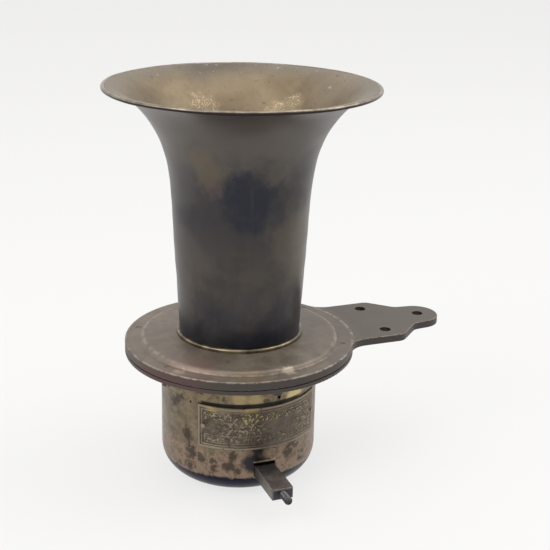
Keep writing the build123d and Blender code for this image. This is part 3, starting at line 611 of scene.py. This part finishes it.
# ==================================================================== mesh building
def resample(points, count):
    """Points evenly spaced along a smooth curve through the given ones."""
    pts = np.asarray(points, float)
    at = np.concatenate([[0.0], np.cumsum(np.linalg.norm(np.diff(pts, axis=0), axis=1))])
    slope = np.gradient(pts, at, axis=0, edge_order=2)
    where = np.linspace(0.0, at[-1], count)
    i = np.clip(np.searchsorted(at, where, side="right") - 1, 0, len(at) - 2)
    h = (at[i + 1] - at[i])[:, None]
    t = ((where - at[i]) / (at[i + 1] - at[i]))[:, None]
    return (
        pts[i] * (1 + 2 * t) * (1 - t) ** 2 + slope[i] * h * t * (1 - t) ** 2
        + pts[i + 1] * t ** 2 * (3 - 2 * t) + slope[i + 1] * h * t ** 2 * (t - 1)
    )


def offset(profile, distance):
    """The profile moved to its left by distance."""
    along = np.gradient(profile, axis=0)
    along /= np.linalg.norm(along, axis=1)[:, None]
    return profile + distance * np.stack([-along[:, 1], along[:, 0]], axis=1)


def arc(centre, radius, start, end, count):
    """Points along a circular arc, its angles in degrees."""
    turn = np.radians(np.linspace(start, end, count))
    return np.stack([centre[0] + radius * np.cos(turn), centre[1] + radius * np.sin(turn)], axis=1)


def add_mesh(name, vertices, faces, materials, face_material=None):
    """A smooth-shaded mesh object from vertices in millimetres."""
    mesh = bpy.data.meshes.new(name)
    mesh.from_pydata((np.asarray(vertices) * MM).tolist(), [], faces)
    for material in materials:
        mesh.materials.append(material)
    if face_material is not None:
        mesh.polygons.foreach_set("material_index", np.asarray(face_material, np.int32))
    mesh.polygons.foreach_set("use_smooth", np.ones(len(faces), bool))
    mesh.set_sharp_from_angle(angle=math.radians(SHARP_EDGE))
    mesh.update()
    piece = bpy.data.objects.new(name, mesh)
    bpy.context.scene.collection.objects.link(piece)
    return piece


def lathe(name, profile, materials, columns, shape, row_material=None):
    """Turn a closed (radius, height) profile about the axis; shape moves each (azimuth, r, z)."""
    rows = len(profile)
    turn = np.arange(columns) * 2 * math.pi / columns
    a, r = np.meshgrid(turn, profile[:, 0], indexing="ij")
    r, z = shape(a, r, np.broadcast_to(profile[:, 1], a.shape))
    vertices = np.stack([r * np.cos(a), r * np.sin(a), z], axis=-1).reshape(-1, 3)
    faces, marks = [], []
    for column in range(columns):
        left, right = column * rows, ((column + 1) % columns) * rows
        for row in range(rows):
            after = (row + 1) % rows
            faces.append((left + row, right + row, right + after, left + after))
            marks.append(row_material[row] if row_material else 0)
    return add_mesh(name, vertices, faces, materials, marks)


def ripple(a, z, seed, size, depth):
    """Smooth random hills over a round part, from a few dozen waves."""
    local = np.random.default_rng(seed)
    waves = 24
    total = np.zeros_like(a)
    for _ in range(waves):
        turns = local.integers(1, max(2, int(CIRCLE * RIPPLE_R / size)))
        rise = local.normal(0, 1.0 / size)
        total += np.cos(turns * a + rise * CIRCLE * z + local.uniform(0, CIRCLE))
    return depth * total / math.sqrt(waves)


def lumps(u, v, seed, size, waves=60):
    """Smooth random relief over a flat sheet, about -1 to 1."""
    local = np.random.default_rng(seed)
    total = np.zeros_like(u)
    for _ in range(waves):
        pull = local.normal(0.0, CIRCLE / size, 2)
        total += np.cos(u * pull[0] + v * pull[1] + local.uniform(0, CIRCLE))
    return total / math.sqrt(waves / 2)


def ramp(value, length):
    """0 up to 0, rising straight to 1 at length."""
    return np.clip(value / length, 0.0, 1.0)


def ridge(distance, half_width):
    """Rounded ridge, 1 on its line and 0 from half_width away."""
    return np.clip(1.0 - (distance / half_width) ** 2, 0.0, 1.0)


def frame_line(u, v, box, half_width):
    """Ridge along a rectangle (u low, v low, u high, v high)."""
    across = np.maximum(np.abs(u - (box[0] + box[2]) / 2) - (box[2] - box[0]) / 2,
                        np.abs(v - (box[1] + box[3]) / 2) - (box[3] - box[1]) / 2)
    return ridge(across, half_width)


# ============================================================================= pieces
def mouth_lift(a):
    """How far the bent mouth stands above the CAD's flat one, round the rim."""
    return MOUTH_LIFT[0] + MOUTH_LIFT[1] * np.cos(a - MOUTH_HIGH_SIDE)


def bell_piece(outside, inside):
    """Spun bell, a little out of round, with its mouth bent up on one side."""
    rows, columns = BELL_GRID
    outer = resample(BELL_OUTSIDE, rows)
    inner = offset(outer, BELL_T)[::-1]
    row_material = [0] * (len(outer) - 1) + [1] * (len(inner) + 1)

    def shape(a, r, z):
        flare = ramp(z - FLARE_Z, FLARE_H)
        flare = flare * flare * (3.0 - 2.0 * flare)
        r = r + ripple(a, z, 3, 30, 0.08) + flare * ripple(a, z, 4, 18, 0.08)
        return r, z + flare * mouth_lift(a)

    sheet = np.vstack([outer, inner])
    return lathe("bell_spun", sheet, [outside, inside], columns, shape, row_material)


def rim_piece(brass):
    """Wired edge rolled round the mouth of the bell."""
    rows, columns = RIM_GRID
    section = arc((RIM_R, RIM_Z), RIM_WIRE_R, 0, 345, rows)

    def shape(a, r, z):
        return r + ripple(a, z * 0, 5, 9, 0.04), z + ripple(a, z * 0, 6, 14, 0.05) + mouth_lift(a)

    return lathe("rim_wire_worn", section, [brass], columns, shape)


def nameplate_borders(u, v, inset, wide, tall):
    """Raised rim, inner line and three blank panels."""
    relief = 0.32 * ridge(inset - 1.0, 0.75)
    relief = np.maximum(relief, 0.26 * frame_line(u, v, (2.6, 2.4, wide - 2.6, tall - 2.8), 0.35))
    panels = (
        (wide - 19.0, 9.8, wide - 4.0, 14.2),
        (wide - 19.0, 4.2, wide - 4.0, 8.2),
        (4.4, 4.0, wide - 21.0, 8.0),
    )
    for box in panels:
        relief = np.maximum(relief, 0.20 * frame_line(u, v, box, 0.32))
    return relief


def nameplate_ground(u, v, inset, wide, tall):
    """Hammered ground, a scrolled banner and chased rows, all worn past reading."""
    hammered = np.clip(lumps(u, v, 31, 2.2), -1.2, 1.6)
    scroll = np.clip(1.8 * lumps(u, v, 38, 2.6, 80) - 0.1, 0.0, 1.0)
    banner = ramp(v - 15.5, 1.0) * ramp(tall - 3.4 - v, 0.8)
    middle = ridge(u - 27.0, 14.0) * ridge(v - 12.0, 5.0)
    rows = np.maximum(ridge(v - 6.0, 1.6), ridge(v - 12.0, 1.7) * (u > wide - 18.0))
    chased = np.clip(3.0 * lumps(u, v, 34, 1.7) - 0.4, 0.0, 1.0) * np.sqrt(rows)
    relief = 0.075 * hammered + 0.30 * scroll * np.maximum(banner, middle) + 0.24 * chased
    return ramp(inset - 3.4, 0.8) * relief + 0.02 * lumps(u, v, 33, 0.9)


def sheet_faces(columns, rows):
    """Faces of a closed sheet: a full grid in front, and one long face per column behind.

    The vertices are the front grid, column by column, then the back's border: its low edge, its
    high edge, and what is left of its first and last columns.
    """
    low = columns * rows
    high = low + columns
    first = [high + columns + row for row in range(rows - 2)]
    last = [at + rows - 2 for at in first]
    faces = []
    for column in range(columns - 1):
        left = first if column == 0 else []
        right = last[::-1] if column == columns - 2 else []
        top = (high + column, high + column + 1)
        faces.append((*top, *right, low + column + 1, low + column, *left))
        for row in range(rows - 1):
            i = column * rows + row
            faces.append((i, i + rows, i + rows + 1, i + 1))
    edge = [(column * rows, low + column) for column in range(columns)]
    edge += [((columns - 1) * rows + row + 1, last[row]) for row in range(rows - 2)]
    edge += [(column * rows + rows - 1, high + column) for column in range(columns - 1, -1, -1)]
    edge += [(row + 1, first[row]) for row in range(rows - 3, -1, -1)]
    for (here, under), (after, below) in zip(edge, edge[1:] + edge[:1]):
        faces.append((here, under, below, after))
    return faces


def nameplate_piece(brass):
    """Embossed plate bent round the cup, its top edge sprung off it."""
    columns, rows = NAMEPLATE_GRID
    start, end = np.radians(NAMEPLATE_AZ)
    wide = (end - start) * CUP_R
    tall = NAMEPLATE_Z[1] - NAMEPLATE_Z[0]
    u, v = np.meshgrid(np.linspace(0, wide, columns), np.linspace(0, tall, rows), indexing="ij")
    inset = np.minimum(np.minimum(u, wide - u), np.minimum(v, tall - v))
    relief = nameplate_borders(u, v, inset, wide, tall) + nameplate_ground(u, v, inset, wide, tall)

    seat_r = CUP_R + 0.02
    rounded = np.sqrt(ramp(inset, 0.35))
    sprung = ramp(v - tall + 6.0, 6.0) ** 2 * ridge(u - 0.42 * wide, 0.55 * wide)
    r = seat_r + rounded * (NAMEPLATE_T + relief) + 0.45 * sprung + 0.10 * np.sin(u / 9.0)
    r = np.maximum(r, seat_r)
    back_r = np.maximum(r - NAMEPLATE_T - 0.15, CUP_R - 0.2)

    a = start + u / CUP_R
    z = NAMEPLATE_Z[0] + v - 0.5 * sprung
    front = np.stack([r * np.cos(a), r * np.sin(a), z], axis=-1).reshape(-1, 3)
    back = np.stack([back_r * np.cos(a), back_r * np.sin(a), z], axis=-1)
    vertices = np.vstack([front, back[:, 0], back[:, -1], back[0, 1:-1], back[-1, 1:-1]])
    return add_mesh("nameplate_embossed", vertices, sheet_faces(columns, rows), [brass])


def stud_piece(steel):
    """Knob stud with a cut thread and a chamfered end."""
    root_y, end_y = STUD_Y
    centre_z = sum(BAR_Z) / 2
    columns, rows = STUD_GRID
    turn = np.arange(columns) * 2 * math.pi / columns
    a, along = np.meshgrid(turn, np.linspace(root_y, end_y, rows), indexing="ij")
    wave = np.abs(((along / STUD_PITCH + a / (2 * math.pi)) % 1.0) - 0.5) * 2
    thread = THREAD_DEPTH * wave * ramp(along - end_y, 0.9)
    chamfer = 0.6 * (1.0 - ramp(along - end_y, 0.7))
    r = STUD_R - 0.02 - thread - chamfer
    sides = np.stack([r * np.cos(a), along, centre_z + r * np.sin(a)], axis=-1).reshape(-1, 3)
    ends = np.array([[0, root_y, centre_z], [0, end_y + 0.8, centre_z]])
    first = columns * rows
    faces = []
    for column in range(columns):
        left, right = column * rows, ((column + 1) % columns) * rows
        faces.append((right, left, first))
        faces.append((left + rows - 1, right + rows - 1, first + 1))
        for row in range(rows - 1):
            faces.append((left + row, right + row, right + row + 1, left + row + 1))
    return add_mesh("stud_threaded", np.vstack([sides, ends]), faces, [steel])


def slot_lip(brass):
    """Rounded lip turned out along the top of the plunger opening."""
    count, around = LIP_GRID
    reach_x = SLOT_HALF_WIDTH + 0.4
    vertices, faces = [], []
    for column, at in enumerate(np.linspace(-reach_x, reach_x, count)):
        swell = math.sqrt(max(0.02, 1.0 - (at / (reach_x + 0.05)) ** 8))
        out = Vector((at, -math.sqrt(CUP_R ** 2 - at ** 2), 0.0)).normalized()
        for corner in range(around):
            turn = 2 * math.pi * corner / around
            reach = CUP_R - 0.05 + LIP_R * swell * math.cos(turn)
            rise = LIP_R * swell * math.sin(turn)
            vertices.append((out.x * reach, out.y * reach, SLOT_TOP + rise))
            if column < count - 1:
                here, after = column * around + corner, column * around + (corner + 1) % around
                faces.append((here, here + around, after + around, after))
    faces.append(tuple(range(around)))
    faces.append(tuple((count - 1) * around + corner for corner in reversed(range(around))))
    return add_mesh("slot_lip", vertices, faces, [brass])


def dress(frame):
    """Give every CAD node a material by the record's slot, and two of them their own."""
    looks = {
        "plate_bronze": plate_bronze(),
        "cup_brass": cup_brass(),
        "nameplate_brass": nameplate_brass(),
        "bright_brass": ferrule_brass(),
        "gear_brass": machined_brass(),
        "dark_steel": oiled_steel("dark_steel"),
        "stud_steel": thread_steel(),
        "screw_steel": oiled_steel("screw_steel"),
        "spring_steel": spring_steel(),
        "gasket": gasket_fibre(),
        "bell_brass": bell_outside(),
    }
    for part in frame["record"]["subparts"]:
        mesh = frame["nodes"][part["node"]].data
        mesh.materials.clear()
        mesh.materials.append(looks[part["material_slot"]])
    own = {
        "plunger_bar": bar_steel(),
        "rim_screws": looks["plate_bronze"],
    }
    for node, look in own.items():
        frame["nodes"][node].data.materials[0] = look
    return looks


def place(piece, body, slot, *nodes):
    """Ride a piece on its body, in place of the CAD nodes named; its slot argument is not used."""
    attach(piece, body)
    if nodes:
        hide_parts(*nodes)


# ============================================================================== stage
def floor_material():
    """A bright seamless sweep: most of its light is its own, so shadows stay faint."""
    g = Graph("sweep_white")
    g.shader.inputs["Emission Color"].default_value = (1.0, 0.995, 0.99, 1.0)
    g.shader.inputs["Emission Strength"].default_value = FLOOR_GLOW
    return g.finish((0.148, 0.146, 0.144), 0.9, 0.0, 0.0)


def add_floor():
    """One wide flat floor."""
    half = FLOOR_HALF
    corners = [(-half, -half, 0), (half, -half, 0), (half, half, 0), (-half, half, 0)]
    floor = add_mesh("studio_floor", corners, [(0, 1, 2, 3)], [floor_material()])


def add_world():
    """Soft white room, dimmer on the camera's side."""
    world = bpy.data.worlds.new("studio")
    bpy.context.scene.world = world
    world.use_nodes = True
    nodes, links = world.node_tree.nodes, world.node_tree.links
    background = nodes["Background"]
    coords = nodes.new("ShaderNodeTexCoord")
    toward = nodes.new("ShaderNodeVectorMath")
    toward.operation = "DOT_PRODUCT"
    links.new(coords.outputs["Generated"], toward.inputs[0])
    toward.inputs[1].default_value = Vector((CAMERA_AT[0], CAMERA_AT[1], 0.05)).normalized()
    shade = nodes.new("ShaderNodeMapRange")
    shade.interpolation_type = "SMOOTHSTEP"
    links.new(toward.outputs["Value"], shade.inputs["Value"])
    shade.inputs["From Min"].default_value = ROOM_FADE[0]
    shade.inputs["From Max"].default_value = ROOM_FADE[1]
    shade.inputs["To Min"].default_value = ROOM_BRIGHTNESS[0]
    shade.inputs["To Max"].default_value = ROOM_BRIGHTNESS[1]
    links.new(shade.outputs["Result"], background.inputs["Strength"])
    background.inputs["Color"].default_value = (1.0, 1.0, 1.0, 1.0)


def add_light(name, azimuth, elevation, distance, size, power):
    """A square softbox aimed at the middle of the horn."""
    turn, rise = math.radians(azimuth), math.radians(elevation)
    level = math.cos(rise)
    way = Vector((math.sin(turn) * level, -math.cos(turn) * level, math.sin(rise)))
    lamp = bpy.data.lights.new(name, "AREA")
    lamp.size = size
    lamp.energy = power
    holder = bpy.data.objects.new(name, lamp)
    holder.location = Vector(LIGHT_TARGET) + way * distance
    holder.rotation_euler = (-way).to_track_quat("-Z", "Y").to_euler()
    bpy.context.scene.collection.objects.link(holder)


def add_camera():
    """The photo's view, as solved from the outlines of the rim, flange, cup and arm."""
    lens = bpy.data.cameras.new("view")
    lens.lens = CAMERA_LENS
    lens.sensor_width = SENSOR_WIDTH
    camera = bpy.data.objects.new("view", lens)
    turn = (
        Matrix.Rotation(-CAMERA_AZIMUTH, 4, "Z")
        @ Matrix.Rotation(math.pi / 2 - CAMERA_PITCH, 4, "X")
        @ Matrix.Rotation(CAMERA_ROLL, 4, "Z")
    )
    camera.matrix_world = Matrix.Translation(Vector(CAMERA_AT)) @ turn
    bpy.context.scene.collection.objects.link(camera)
    bpy.context.scene.camera = camera


def main():
    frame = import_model()
    looks = dress(frame)

    place(bell_piece(looks["bell_brass"], bell_inside()), "housing", "bell_brass", "bell_sheet")
    rim_look = rim_brass()
    place(rim_piece(rim_look), "housing", "bright_brass", "rim_wire")
    place(nameplate_piece(looks["nameplate_brass"]), "housing", "nameplate_brass", "nameplate")
    place(stud_piece(looks["stud_steel"]), "plunger", "stud_steel", "plunger_stud")
    place(slot_lip(rim_look), "housing", "bright_brass")

    add_floor()
    add_world()
    for softbox in SOFTBOXES:
        add_light(*softbox)
    add_camera()
    bpy.context.scene.view_settings.view_transform = "Standard"


main()
